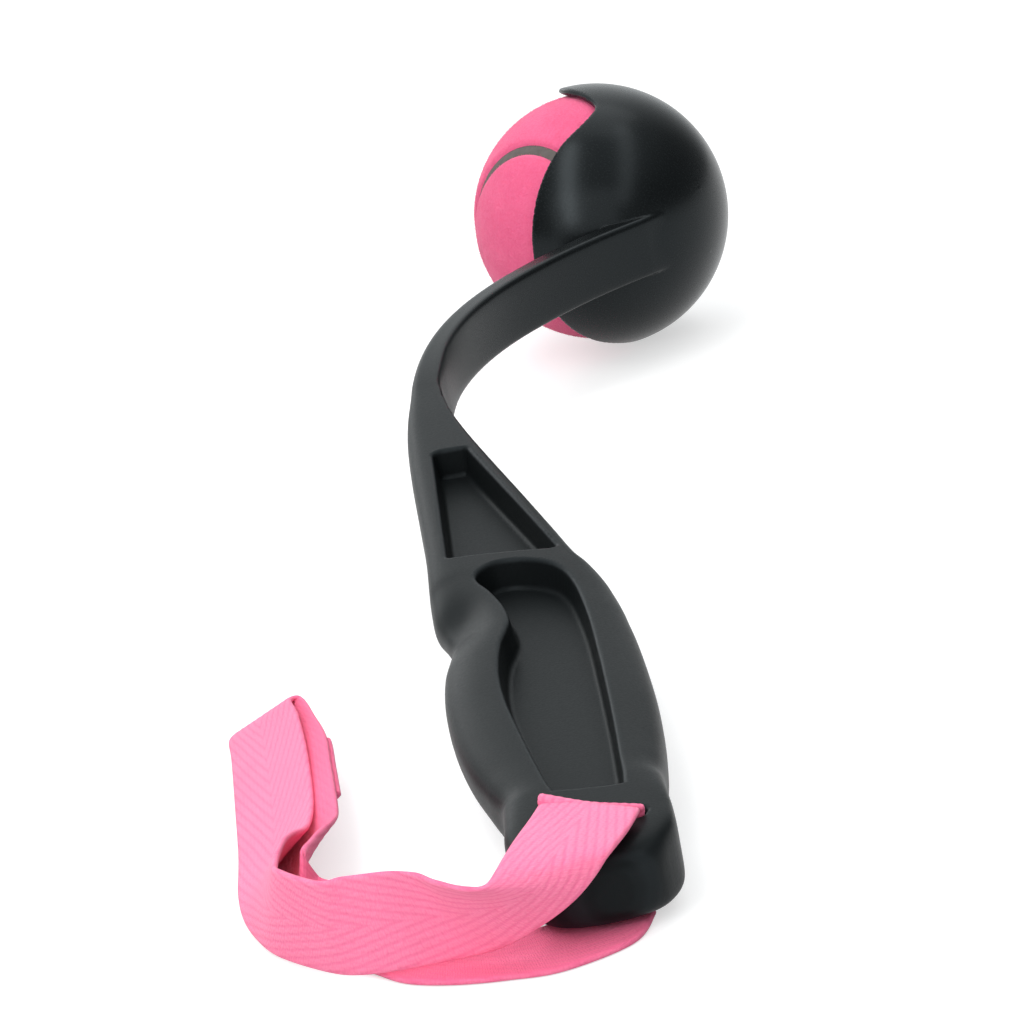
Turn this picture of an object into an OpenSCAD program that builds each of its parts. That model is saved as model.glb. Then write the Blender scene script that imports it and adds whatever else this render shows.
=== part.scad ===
// Hand-held ball launcher for dogs, lying on a table with its ball and wrist strap.
// One plastic moulding makes the grip, the bent arm and the open cup.
// The cup holds a felt-covered ball, and a sewn webbing loop hangs in a slot in the pommel.
// The origin is the middle of the seated ball, +Y runs from the grip towards the cup,
// +Z is up from the table and all sizes are in millimetres.

/* [Ball] */
// Diameter over the felt
ball_d = 64; // [60:0.5:67]
// Thickness of the felt cover
felt_t = 3; // [2.4:0.1:3.6]
// Wall of the hollow rubber core
core_wall = 3.5; // [2.5:0.1:4.5]
// Width of the seam between the two felt panels
seam_w = 2.6; // [2:0.1:3.4]
// How far the seam lies below the felt
seam_sunk = 0.8; // [0.4:0.1:1.2]

/* [Cup] */
// Gap all round between the ball and the cup
ball_gap = 0.4; // [0.3:0.1:0.8]
// Wall of the cup
cup_wall = 2; // [1.8:0.1:2.6]
// Direction in which the ball leaves the cup, turned from +X
exit_deg = 161; // [156:1:166]

/* [Handle] */
// Straight length from the nose of the pommel to the elbow
handle_len = 264; // [250:1:280]
// Widest part of the grip
grip_w = 41.5; // [39:0.5:45]
// Thickness of the grip and the pommel
body_t = 16; // [15:0.5:19]
// Web left between the pockets of the two faces
floor_t = 2.4; // [1.8:0.1:4]
// Rounding of the corners of the three-sided pocket
pocket_r = 2; // [1:0.25:3]

/* [Arm] */
// Thickness of the arm in the plane of the bend
arm_t = 5.8; // [5:0.1:6.6]
// Width of the arm across that plane
arm_w = 15.6; // [14:0.2:17]
// Radius of the elbow on the middle line
elbow_r = 90; // [84:1:96]
// Radius of the arm on the middle line
arm_r = 135; // [130:1:140]

/* [Strap] */
// Width of the webbing
strap_w = 20; // [17:0.5:21]
// Thickness of the webbing
strap_t = 1.3; // [1:0.1:1.6]
// Gap between the webbing and what it passes
strap_gap = 0.3; // [0.2:0.05:0.4]
// Length of the sewn lap
lap_l = 36; // [30:1:40]
// Thread of the sewn lap
thread_d = 0.6; // [0.4:0.1:0.8]

/* [Hidden] */
$fn = 96;

// Ball radii, with the glue layer under the felt and at the sides of the seam
ball_r = ball_d / 2;
glue = 0.25;
lap_gap = 0.2;
core_r = ball_r - felt_t - glue;
felt_in = ball_r - felt_t;
seam_edge = 0.1;
// Turn of the ball as it lies in the cup
ball_turn = [10, 0, 0];

// Cup radii
cup_in = ball_r + ball_gap;
cup_out = cup_in + cup_wall;
way_gap = 0.1;

// Headings of the middle line, turned from +X, at the grip, between elbow and arm, and at the cup
grip_deg = 95.7;
mid_deg = 50;
cup_deg = 27;
// Where the arm meets the cup, and how far it stands proud of it there
meet_deg = -54.8;
proud = 0.5;
meet = (cup_out + proud - arm_t / 2) * [cos(meet_deg), sin(meet_deg)];
// Run-out of the arm along the wall of the cup
run_r = 0.76 * cup_out;
run_deg = 26;

// Turning points of the middle line, worked back from the cup
arm_start = meet - arm_r * [sin(mid_deg) - sin(cup_deg), cos(cup_deg) - cos(mid_deg)];
elbow_start = arm_start - elbow_r * [sin(grip_deg) - sin(mid_deg), cos(mid_deg) - cos(grip_deg)];
along = [cos(grip_deg), sin(grip_deg)];
across = [sin(grip_deg), -cos(grip_deg)];
nose = elbow_start - handle_len * along;
// Lengths of the bent stretches
elbow_len = elbow_r * (grip_deg - mid_deg) * PI / 180;
arm_len = arm_r * (mid_deg - cup_deg) * PI / 180;
arm_end = elbow_len + arm_len;
run_len = run_r * run_deg * PI / 180;

// Stretch of the outline tables below, which are drawn for a handle of 264 and a grip of 41.5
ks = handle_len / 264;
kq = grip_w / 41.5;
half_t = body_t / 2;
half_w = arm_w / 2;
a2 = arm_t / 2;

// Handle outline: station, left half, right half, half thickness, roundness left and right
handle_rows = [
    [0, 5, 5, 0.68, 2.6, 2.6],
    [1.5, 9, 8.5, 0.84, 3.2, 3.2],
    [5, 13, 11.5, 0.96, 4, 4],
    [10.5, 16, 14.2, 1, 5, 5],
    [18, 17, 15, 1, 5, 5],
    [24, 16.4, 15.2, 1, 5, 5],
    [31, 15.7, 15.6, 1, 4.6, 4.6],
    [37, 15.5, 16.2, 1, 3.6, 3.6],
    [46, 17.2, 17.8, 1, 3, 3],
    [59, 19.2, 19.5, 1, 2.8, 2.8],
    [74, 20.1, 20.8, 1, 2.8, 2.8],
    [90, 19.8, 21.5, 1, 2.8, 2.8],
    [104, 18.3, 21.8, 1, 2.5, 2.8],
    [113, 16.3, 21.7, 1, 2.2, 2.9],
    [119, 15, 21.6, 1, 2.1, 3],
    [126, 15.6, 21.2, 1, 2.2, 3.1],
    [134, 16.7, 20.4, 1, 2.5, 3.4],
    [143, 16.4, 18.6, 1, 3, 4],
    [150, 15.8, 16.5, 1, 4, 4.6],
    [165, 14.5, 14.1, 1, 5, 5],
    [188, 13.3, 10.4, 1, 5, 5.4],
    [212, 12.1, 6.4, 1, 5, 5.6],
    [232, 10.7, 3.2, 1, 5, 6],
    [247, 8.9, 1.5, 1, 5.4, 6]
];
// Arm outline: way past the elbow start, then the same columns
arm_rows = [
    [-1, a2 + 3.3, a2 - 1.5, half_w, 6, 6],
    [14, a2 + 1.3, a2, half_w, 6, 6],
    [31, a2 + 0.3, a2 + 0.1, half_w, 6, 6],
    [56, a2, a2, half_w, 6, 6],
    [86, a2, a2, half_w, 6, 6],
    [arm_end - 14, a2, a2, half_w, 6, 6],
    [arm_end - 3, a2, a2 - 0.1, half_w, 6, 6],
    [arm_end + 2, a2, a2 - 0.9, half_w, 5, 5],
    [arm_end + 0.5 * run_len, a2, a2 * 0.4, half_w, 5, 5],
    [arm_end + run_len, a2, 0.3, half_w * 0.94, 4, 4]
];
rows = concat(
    [for (r = handle_rows) [r[0] * ks, r[1] * kq, r[2] * kq, r[3] * half_t, r[4], r[5]]],
    [for (r = arm_rows) [handle_len + r[0], r[1], r[2], r[3], r[4], r[5]]]
);

// Three-sided pocket and grip pocket: station and side, in the same table sizes
tri_pocket = [[219, -6], [218, 1.7], [148.6, 13.2], [155.8, -10.5]];
grip_pocket = [
    [142, -6], [147, -1.9], [146, 4.3], [140.4, 10.4], [131.2, 13.1], [113.3, 13.5], [95, 12.7], [77, 11.6],
    [60, 10.4], [43.2, 9], [30.4, 7.8], [28.3, 6.3], [31, -4.1], [33, -5.7], [45.5, -6.8], [60.6, -7.7],
    [75.5, -8.4], [87, -8.2], [95.9, -7.3], [105, -5.6], [111.7, -3.4], [116.6, -2.3], [124.2, -2.5],
    [133, -4]
];

// Strap slot through the pommel
slot_s = 18.5 * ks;
slot_h = strap_t + 3;
slot_w = strap_w + 2.4;
slot_at = nose + slot_s * along;
// Turn of the slot and of the webbing in it from square across the pommel
skew = 27;

// The launcher rests on the cup and on the lower leg of the strap under the pommel
rest_y = -nose[1] - 4;
lie_tilt = asin((cup_out - half_t - strap_t - 2 * strap_gap) / rest_y);
table_z = -cup_out;
// Slot middle and the two faces of the pommel there, over the table
slot_row = [slot_at[0], slot_at[1] * cos(lie_tilt), slot_at[1] * sin(lie_tilt)];
over_z = slot_row[2] - table_z + (half_t + strap_gap) / cos(lie_tilt) + strap_t / 2;
low_z = strap_t / 2 + 0.05;

// Route of the loop from the slot and back, seen from the slot middle and up from the table:
// outer edge of the webbing, inner or lower edge
u = over_z;
d = low_z;
route = [
    [[-9.4, 3.6, u + 1.4], [9.4, -4.4, u + 0.5]],
    [[-9.6, 1.8, u + 2.3], [8.9, -8.4, u + 0.7]],
    [[-14, -7.5, u + 1.4], [6.3, -15.5, u + 0.2]],
    [[-17, -22, u + 0.7], [2.6, -22.2, u - 0.8]],
    [[-20.3, -28.2, u - 0.3], [-1.8, -23, u - 5.4]],
    [[-24, -28.5, u - 0.2], [-8.1, -23, u - 10]],
    [[-29.2, -25, u + 0.6], [-17, -22.4, u - 14.4]],
    [[-33.2, -20.8, u + 1.1], [-25, -20.8, u - 16.6]],
    [[-39.6, -20.6, u + 2.2], [-37.2, -20.2, u - 17.2]],
    [[-46.2, -17, u + 1], [-46, -16.4, d + 0.6]],
    [[-50.6, -14.8, u + 0.2], [-52.4, -11, d]],
    [[-58, -5.2, u - 0.4], [-61.5, -0.5, d]],
    [[-59.4, 2.5, u - 1.5], [-66, 9, d]],
    [[-58.2, 17.8, u - 3.3], [-69, 19.5, d]],
    [[-54.2, 33, u - 6.7], [-70.6, 32, d]],
    [[-53.7, 50, u - 7.9], [-71.2, 51, d]],
    [[-55.6, 75, u - 8.1], [-72.7, 77, d]],
    [[-58, 99, u - 8.2], [-74.4, 105, d]],
    [[-59, 109, u - 8.4], [-75.3, 118, d]],
    [[-56, 109.5, u - 8.4], [-72.4, 120.5, d]],
    [[-53, 97.5, u - 8], [-69.4, 109.5, d + 0.3]],
    [[-51.6, 83, u - 7.6], [-68, 91, d + 1.2]],
    [[-50.9, 67, u - 7.6], [-67.5, 72, d + 1.2]],
    [[-49.8, 47.5, u - 7.2], [-66.3, 49.5, d + 1.2]],
    [[-49.4, 34, u - 6.8], [-65, 32, d + 0.6]],
    [[-53.4, 20, u - 5.6], [-62.4, 10.5, d]],
    [[-55.2, 12, u - 6.6], [-57.4, -0.5, d]],
    [[-48, 8, u - 10.3], [-51.4, -8.4, d]],
    [[-42.6, 3.5, u - 13.8], [-44.8, -14.2, d]],
    [[-35.5, -3.5, d + 2], [-38.2, -21.6, d]],
    [[-29, -7, d + 1.2], [-29.5, -25.8, d]],
    [[-21.5, -8.5, d + 0.3], [-19.5, -27.8, d]],
    [[-14, -8.5, d], [-9, -28, d]],
    [[-10.8, -5.5, d], [4, -21, d]],
    [[-9.6, 0.5, d], [8.6, -9.5, d]],
    [[-9.3, 3.6, d], [9.3, -3.6, d]]
];
route_steps = 3;
// Station of the route at which the sewn lap begins
lap_from = 63;

// Point between p1 and p2 on a smooth curve
function smooth(p0, p1, p2, p3, t) = 0.5 * (2 * p1 + (p2 - p0) * t
    + (2 * p0 - 5 * p1 + 4 * p2 - p3) * t * t + (3 * p1 - p0 - 3 * p2 + p3) * t * t * t);
function open_curve(p, n) = concat(
    [for (i = [0 : len(p) - 2]) for (k = [0 : n - 1])
        smooth(p[max(i - 1, 0)], p[i], p[i + 1], p[min(i + 2, len(p) - 1)], k / n)],
    [p[len(p) - 1]]);
function closed_curve(p, n) = let (c = len(p)) [for (i = [0 : c - 1]) for (k = [0 : n - 1])
    smooth(p[(i + c - 1) % c], p[i], p[(i + 1) % c], p[(i + 2) % c], k / n)];
function unit(v) = v / norm(v);

// Polygon with its corners rounded off by arcs of radius r
function rounded(p, r, n) = let (c = len(p)) [for (i = [0 : c - 1])
    let (a = unit(p[(i + c - 1) % c] - p[i]), b = unit(p[(i + 1) % c] - p[i]),
        half = acos(a * b) / 2, m = p[i] + unit(a + b) * r / sin(half),
        f = p[i] + a * r / tan(half) - m, g = p[i] + b * r / tan(half) - m)
    for (k = [0 : n]) let (v = unit(f * (1 - k / n) + g * k / n)) m + r * v];

// Middle line of the moulding at a way s from the nose: point and heading
function line_at(s) = let (e = s - handle_len, h = e - elbow_len, q = e - arm_end)
    e <= 0 ? [nose + s * along, grip_deg]
    : h <= 0 ? let (g = grip_deg - e / elbow_r * 180 / PI)
        [elbow_start + elbow_r * [sin(grip_deg) - sin(g), cos(g) - cos(grip_deg)], g]
    : q <= 0 ? let (g = mid_deg - h / arm_r * 180 / PI)
        [arm_start + arm_r * [sin(mid_deg) - sin(g), cos(g) - cos(mid_deg)], g]
    : let (g = cup_deg + q / run_r * 180 / PI)
        [meet + run_r * [sin(g) - sin(cup_deg), cos(cup_deg) - cos(g)], g];

// Rounded-box ring of the moulding at one row of the outline
ring_n = 24;
function power(c, n) = sign(c) * pow(abs(c), 2 / n);
function ring(r) = let (l = line_at(r[0]), out = [sin(l[1]), -cos(l[1])])
    [for (k = [0 : ring_n - 1]) let (a = -(k + 0.5) * 360 / ring_n, right = cos(a) > 0,
        n = right ? r[5] : r[4], q = power(cos(a), n) * (right ? r[2] : r[1]))
        [l[0][0] + q * out[0], l[0][1] + q * out[1], power(sin(a), n) * r[3]]];

// Closed skin over a list of rings with equal point counts
module skin(rings) {
    n = len(rings[0]);
    m = len(rings);
    faces = concat(
        [[for (k = [0 : n - 1]) k]],
        [for (i = [0 : m - 2]) for (k = [0 : n - 1]) [i * n + k, (i + 1) * n + k, i * n + (k + 1) % n]],
        [for (i = [0 : m - 2]) for (k = [0 : n - 1])
            [i * n + (k + 1) % n, (i + 1) * n + k, (i + 1) * n + (k + 1) % n]],
        [[for (k = [n - 1 : -1 : 0]) (m - 1) * n + k]]);
    polyhedron(points = [for (r = rings) for (p = r) p], faces = faces);
}

// Pocket outlines in the plane of the launcher
function in_plane(p) = [for (v = p) nose + v[0] * ks * along + v[1] * kq * across];

module pockets() {
    for (side = [0, 1]) mirror([0, 0, side]) translate([0, 0, floor_t / 2]) {
        linear_extrude(half_t) polygon(in_plane(rounded(tri_pocket, pocket_r, 4)));
        linear_extrude(half_t) polygon(in_plane(closed_curve(grip_pocket, 2)));
    }
}

module slot() {
    translate([slot_at[0], slot_at[1], -body_t]) rotate([0, 0, grip_deg - 90 - skew])
        linear_extrude(2 * body_t)
        polygon(rounded([[-slot_w / 2, -slot_h / 2], [slot_w / 2, -slot_h / 2], [slot_w / 2, slot_h / 2],
            [-slot_w / 2, slot_h / 2]], 1.5, 4));
}

// Mouth of the cup: side and height of its edge, seen along the exit
rim = [[34, 7.9], [29, 4.6], [21.5, -0.7], [15.5, -5.2], [10, -7.5], [6.5, -6.6], [2, -2], [-3.5, 4.4],
    [-9, 7.4], [-16, 8.2], [-26, 8.2], [-36, 8.2]];
rim_k = cup_out / 34.4;
module cup_mouth() {
    edge = [for (p = open_curve(rim, 3)) p * rim_k];
    far = 2 * cup_out;
    rotate([0, 0, exit_deg - 90]) translate([0, 0, -far]) linear_extrude(2 * far)
        polygon(concat([for (p = edge) [-p[0], p[1]]], [[far, rim[len(rim) - 1][1] * rim_k], [far, far],
            [-far, far], [-far, rim[0][1] * rim_k]]));
}

// Hollow of the cup, with a straight way out for the ball that is a little tighter than the seat
module cup_hollow() {
    sphere(cup_in);
    rotate([0, 0, exit_deg]) rotate([0, 90, 0]) cylinder(h = 2 * cup_out, r = cup_in - way_gap);
}

module launcher_body() {
    color([0.24, 0.26, 0.27]) rotate([lie_tilt, 0, 0]) difference() {
        union() {
            skin([for (r = open_curve(rows, 2)) ring(r)]);
            difference() {
                sphere(cup_out);
                cup_mouth();
            }
        }
        cup_hollow();
        pockets();
        slot();
    }
}

// Two rubber half shells, glued at a flat join
module ball_core(side) {
    color([0.2, 0.2, 0.2]) rotate([lie_tilt, 0, 0]) rotate(ball_turn) rotate([90 * side, 0, 0])
        difference() {
            sphere(core_r);
            sphere(core_r - core_wall);
            translate([-ball_d, -ball_d, -2 * ball_d]) cube(2 * ball_d);
        }
}
module ball_core_a() { ball_core(1); }
module ball_core_b() { ball_core(-1); }

// Seam line of the ball on a unit sphere, and the sideways direction towards the first panel
function seam_raw(t) = [0.75 * cos(t) + 0.25 * cos(3 * t), 0.75 * sin(t) - 0.25 * sin(3 * t),
    sqrt(0.75) * sin(2 * t)];
function seam_line(t) = unit(seam_raw(t));
function seam_side(t) = unit(cross(seam_line(t), seam_line(t + 0.5) - seam_line(t - 0.5)));
function seam_at(t, w) = let (a = w / ball_r * 180 / PI) seam_line(t) * cos(a) + seam_side(t) * sin(a);

// Dumb-bell panel of felt: edge points on one half, mirrored to the other, filled by arcs between them
half_n = 18;
fill_n = 12;
function panel_edge(t) = seam_at(t, seam_w / 2);
function panel_rows() = concat(
    [for (k = [0 : half_n]) let (p = panel_edge(-43 + 88 * k / half_n)) [p[1], p[0], p[2]]],
    [for (k = [half_n - 1 : -1 : 0]) panel_edge(-43 + 88 * k / half_n)]);
function arc_point(a, b, f) = unit(a * (1 - f) + b * f);
module felt_panel() {
    edge = panel_rows();
    skin([for (p = edge) let (m = [-p[1], -p[0], p[2]],
        out = [for (j = [0 : fill_n]) arc_point(p, m, j / fill_n)])
        concat([for (v = out) v * ball_r], [for (j = [fill_n : -1 : 0]) out[j] * felt_in])]);
}
module ball_felt_a() {
    color([0.96, 0.4, 0.57]) rotate([lie_tilt, 0, 0]) rotate(ball_turn) felt_panel();
}
module ball_felt_b() {
    color([0.96, 0.4, 0.57]) rotate([lie_tilt, 0, 0]) rotate(ball_turn) rotate([180, 0, 0]) felt_panel();
}

// Seam compound, a closed band along the line between the panels
module ball_seam() {
    n = 96;
    w = seam_w / 2 - seam_edge;
    pts = [for (i = [0 : n - 1]) let (t = i * 360 / n, a = seam_at(t, w), b = seam_at(t, -w))
        each [a * (ball_r - seam_sunk), b * (ball_r - seam_sunk), b * felt_in, a * felt_in]];
    faces = [for (i = [0 : n - 1]) for (k = [0 : 3]) let (p = 4 * i, q = 4 * ((i + 1) % n), j = (k + 1) % 4)
        each [[p + k, q + k, p + j], [p + j, q + k, q + j]]];
    color([0.39, 0.37, 0.36]) rotate([lie_tilt, 0, 0]) rotate(ball_turn) polyhedron(pts, faces);
}

// Webbing where it passes through the slot
module strap_anchor() {
    color([0.95, 0.45, 0.6]) rotate([lie_tilt, 0, 0]) translate([slot_at[0], slot_at[1], 0])
        rotate([0, 0, grip_deg - 90 - skew]) cube([strap_w, strap_t, body_t], center = true);
}

// Stations of the loop: lower edge, unit direction across the webbing, unit normal
function loop_edges() = open_curve(route, route_steps);
loop = [let (e = loop_edges(), n = len(e)) for (i = [0 : n - 1])
    let (w = unit(e[i][0] - e[i][1]), a = e[max(i - 1, 0)], b = e[min(i + 1, n - 1)],
        f = unit(b[0] + b[1] - a[0] - a[1]))
    [e[i][1], w, unit(cross(f, w))]];
// Point on the webbing at a station, a way across from the lower edge and a lift off its middle
function web(i, x, lift) = let (k = floor(i), f = i - k, a = loop[k], b = loop[min(k + 1, len(loop) - 1)])
    (a[0] + a[1] * x + a[2] * lift) * (1 - f) + (b[0] + b[1] * x + b[2] * lift) * f;
module web_strip(stations, lift) {
    h = strap_t / 2;
    skin([for (i = stations) [web(i, 0, lift - h), web(i, strap_w, lift - h), web(i, strap_w, lift + h),
        web(i, 0, lift + h)]]);
}
module on_table() {
    translate([slot_row[0], slot_row[1], table_z]) children();
}

module strap_loop() {
    color([1, 0.53, 0.68]) on_table() web_strip([0 : len(loop) - 1], 0);
}

// Second end of the webbing, sewn on over the first
lap_step = norm(web(lap_from + 3, strap_w / 2, 0) - web(lap_from, strap_w / 2, 0)) / 3;
function lap_station(x) = lap_from + x / lap_step;
module strap_lap() {
    color([1, 0.53, 0.68]) on_table()
        web_strip([for (k = [0 : 12]) lap_station(lap_l * k / 12)], -strap_t - lap_gap);
}

// Cross rows of stitches through the lap, two at each end
stitch_n = 6;
stitch_l = 0.1 * strap_w;
stitch_p = 0.15 * strap_w;
module strap_stitching() {
    lift = -1.5 * strap_t - 2 * lap_gap - thread_d / 2;
    first = (strap_w - (stitch_n - 1) * stitch_p - stitch_l) / 2;
    color([0.9, 0.35, 0.5]) on_table() for (f = [0.08, 0.2, 0.8, 0.92]) for (k = [0 : stitch_n - 1])
        stitch(web(lap_station(f * lap_l), first + k * stitch_p, lift),
            web(lap_station(f * lap_l), first + k * stitch_p + stitch_l, lift));
}
module stitch(a, b) {
    f = unit(b - a);
    s = unit(cross(f, [0, 0, 1]));
    t = cross(f, s);
    skin([for (e = [a, b]) [for (k = [0 : 5]) e + thread_d / 2 * (cos(60 * k) * s + sin(60 * k) * t)]]);
}

launcher_body();
ball_core_a();
ball_core_b();
ball_felt_a();
ball_felt_b();
ball_seam();
strap_anchor();
strap_loop();
strap_lap();
strap_stitching();
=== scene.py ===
import math

import bpy
import numpy as np
from mathutils import Matrix


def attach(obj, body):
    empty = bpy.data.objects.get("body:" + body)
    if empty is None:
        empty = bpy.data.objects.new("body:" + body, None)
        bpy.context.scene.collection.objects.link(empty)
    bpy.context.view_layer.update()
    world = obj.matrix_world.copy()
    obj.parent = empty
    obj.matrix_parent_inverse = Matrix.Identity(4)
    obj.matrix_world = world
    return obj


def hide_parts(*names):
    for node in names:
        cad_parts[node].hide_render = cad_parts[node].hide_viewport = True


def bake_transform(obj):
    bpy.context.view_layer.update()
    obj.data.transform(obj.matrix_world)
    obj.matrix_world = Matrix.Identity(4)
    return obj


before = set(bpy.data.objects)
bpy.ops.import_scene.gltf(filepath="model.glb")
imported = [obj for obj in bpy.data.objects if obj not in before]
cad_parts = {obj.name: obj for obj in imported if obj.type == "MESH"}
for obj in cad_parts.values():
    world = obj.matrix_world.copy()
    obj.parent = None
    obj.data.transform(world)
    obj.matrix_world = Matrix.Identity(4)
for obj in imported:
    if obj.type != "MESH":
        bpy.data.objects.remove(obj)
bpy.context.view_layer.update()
scene = bpy.context.scene
scene.view_settings.view_transform = "Standard"

# Camera: a long lens from low over the pommel, rolled about ten degrees, as the picture was taken.
# Its place and turn come from fitting the ball and the outline of the grip.
camera = bpy.data.objects.new("camera", bpy.data.cameras.new("camera"))
camera.data.sensor_width = 36
camera.data.lens = 158.2
camera.data.clip_start = 0.05
camera.data.clip_end = 40
camera.location = (0, -1.14039, 0.29392)
camera.rotation_euler = (1.252135, 0.174866, -0.025892)
scene.collection.objects.link(camera)
scene.camera = camera


# Moulding: grip, bent arm and cup are one injection moulding in dark grey plastic, satin on the grip. Pockets
# on both faces leave a thin web between two ribs, and a slot for the strap goes askew through the pommel. The
# arm leaves the elbow on edge and runs out along the wall of the cup, a thin shell from a polished mould.
MM = 0.001
# Lengths from here on are in millimetres. Stations run along the middle line from the nose of the pommel.
BALL_R = 32.0
BALL_GAP = 0.4
CUP_WALL = 2.0
CUP_IN = BALL_R + BALL_GAP
CUP_OUT = CUP_IN + CUP_WALL
HANDLE_LEN = 264.0
HALF_T = 8.0
FLOOR_T = 2.4
ARM_T = 5.8
ARM_W = 15.6
ARM_PROUD = 0.5
ELBOW_R = 90.0
ARM_R = 135.0
# Headings of the middle line on the grip, after the elbow and at the cup, and where on the cup the arm meets it
GRIP_DEG, MID_DEG, CUP_DEG, MEET_DEG = 95.7, 50.0, 27.0, -54.8
# Run-out of the arm along the wall of the cup
RUN_R = 0.76 * CUP_OUT
RUN_DEG = 26.0
# Webbing, how far from the nose the pommel rests on it, and the skewed slot that it passes
STRAP_W = 20.0
STRAP_T = 1.3
STRAP_GAP = 0.3
STRAP_REST = 4.0
SLOT_S = 18.5
SLOT_H = STRAP_T + 3.0
SLOT_W = STRAP_W + 1.0
SLOT_ROUND = 1.5
SKEW_DEG = 27.0
# Heading of the ball's way out, and how much narrower it is than the hollow
EXIT_DEG = 161.0
WAY_GAP = 0.1


def heading(deg):
    """Unit vector along a heading of the moulding's plane."""
    return np.array([math.cos(math.radians(deg)), math.sin(math.radians(deg))])


def right_of(deg):
    """Unit vector to the right of a heading."""
    return np.array([math.sin(math.radians(deg)), -math.cos(math.radians(deg))])


meet = (CUP_OUT + ARM_PROUD - ARM_T / 2) * heading(MEET_DEG)
arm_start = meet + ARM_R * (right_of(CUP_DEG) - right_of(MID_DEG))
elbow_start = arm_start + ELBOW_R * (right_of(MID_DEG) - right_of(GRIP_DEG))
nose = elbow_start - HANDLE_LEN * heading(GRIP_DEG)
elbow_len = ELBOW_R * math.radians(GRIP_DEG - MID_DEG)
arm_len = ARM_R * math.radians(MID_DEG - CUP_DEG)
run_len = RUN_R * math.radians(RUN_DEG)
arm_end = HANDLE_LEN + elbow_len + arm_len

# The launcher lies on its cup and on the strap under the pommel, so its middle plane is a little tilted
tilt = math.asin((CUP_OUT - HALF_T - STRAP_T - 2 * STRAP_GAP) / (-nose[1] - STRAP_REST))
TABLE_Z = -CUP_OUT


def lay_down(points):
    """Points of the launcher's own plane, in millimetres, as they lie over the table."""
    c, s = math.cos(tilt), math.sin(tilt)
    p = np.asarray(points, float)
    return np.stack([p[..., 0], c * p[..., 1] - s * p[..., 2], s * p[..., 1] + c * p[..., 2]], -1)


def smooth_rows(rows, steps, closed=False):
    """Catmull-Rom curve through rows of numbers."""
    p = np.asarray(rows, float)
    n = len(p)
    out = []
    for i in range(n if closed else n - 1):
        near = np.arange(i - 1, i + 3)
        a, b, c, d = p[near % n if closed else np.clip(near, 0, n - 1)]
        for t in np.arange(steps) / steps:
            out.append(0.5 * (2 * b + (c - a) * t + (2 * a - 5 * b + 4 * c - d) * t * t
                              + (3 * b - a - 3 * c + d) * t ** 3))
    return np.array(out if closed else out + [p[-1]])


# Station, left half, right half, half thickness, roundness left and right
half_w, half_a = ARM_W / 2, ARM_T / 2
outline_rows = [
    (0, 5, 5, 0.68 * HALF_T, 2.6, 2.6), (1.5, 9, 8.5, 0.84 * HALF_T, 3.2, 3.2),
    (5, 13, 11.5, 0.97 * HALF_T, 5, 5.5), (10.5, 16, 14.2, HALF_T, 6, 7),
    (18, 17, 15, HALF_T, 6, 7.5), (24, 16.4, 15.2, HALF_T, 6, 7.5),
    (31, 15.7, 15.6, HALF_T, 5, 5.4), (37, 15.5, 16.2, HALF_T, 3.6, 3.6),
    (46, 17.2, 17.8, HALF_T, 3, 3), (59, 19.2, 19.5, HALF_T, 2.8, 2.8),
    (74, 20.1, 20.8, HALF_T, 2.8, 2.8), (90, 19.8, 21.5, HALF_T, 2.8, 2.8),
    (104, 18.3, 21.8, HALF_T, 2.5, 2.8), (113, 16.3, 21.7, HALF_T, 2.2, 2.9),
    (119, 15, 21.6, HALF_T, 2.1, 3), (126, 15.6, 21.2, HALF_T, 2.2, 3.1),
    (134, 16.7, 20.4, HALF_T, 2.5, 3.4), (143, 16.4, 18.6, HALF_T, 3, 4),
    (150, 15.8, 16.5, HALF_T, 4, 4.6), (165, 14.5, 14.1, HALF_T, 5, 5),
    (188, 13.3, 10.4, HALF_T, 5, 5.4), (212, 12.1, 6.4, HALF_T, 5, 5.6),
    (232, 10.7, 3.2, HALF_T, 5, 6), (247, 8.9, 1.5, HALF_T, 5.4, 6),
    (HANDLE_LEN - 1, half_a + 3.3, half_a - 1.5, half_w, 6, 6),
    (HANDLE_LEN + 14, half_a + 1.3, half_a, half_w, 6, 6),
    (HANDLE_LEN + 31, half_a + 0.3, half_a + 0.1, half_w, 6, 6),
    (HANDLE_LEN + 56, half_a, half_a, half_w, 6, 6),
    (HANDLE_LEN + 86, half_a, half_a, half_w, 6, 6), (arm_end - 14, half_a, half_a, half_w, 6, 6),
    (arm_end - 7, half_a, half_a - 0.3, half_w, 6, 6),
    (arm_end, half_a, half_a - 1.2, half_w, 5, 5),
    (arm_end + 0.5 * run_len, half_a, half_a * 0.2, half_w, 5, 5),
    (arm_end + run_len, half_a, 0.1, half_w * 0.94, 4, 4),
]
ROW_STEPS = 8
outline_table = smooth_rows(outline_rows, ROW_STEPS)
# Pockets: station and side of their corners, or of points round their edge
tri_pocket = [(219, -6), (218, 1.7), (148.6, 13.2), (155.8, -10.5)]
grip_pocket = [
    (142, -6), (147, -1.9), (146, 4.3), (140.4, 10.4), (131.2, 13.1), (113.3, 13.5), (95, 12.7),
    (77, 11.6), (60, 10.4), (43.2, 9), (30.4, 7.8), (28.3, 6.3), (31, -4.1), (33, -5.7),
    (45.5, -6.8), (60.6, -7.7), (75.5, -8.4), (87, -8.2), (95.9, -7.3), (105, -5.6), (111.7, -3.4),
    (116.6, -2.3), (124.2, -2.5), (133, -4),
]
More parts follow.
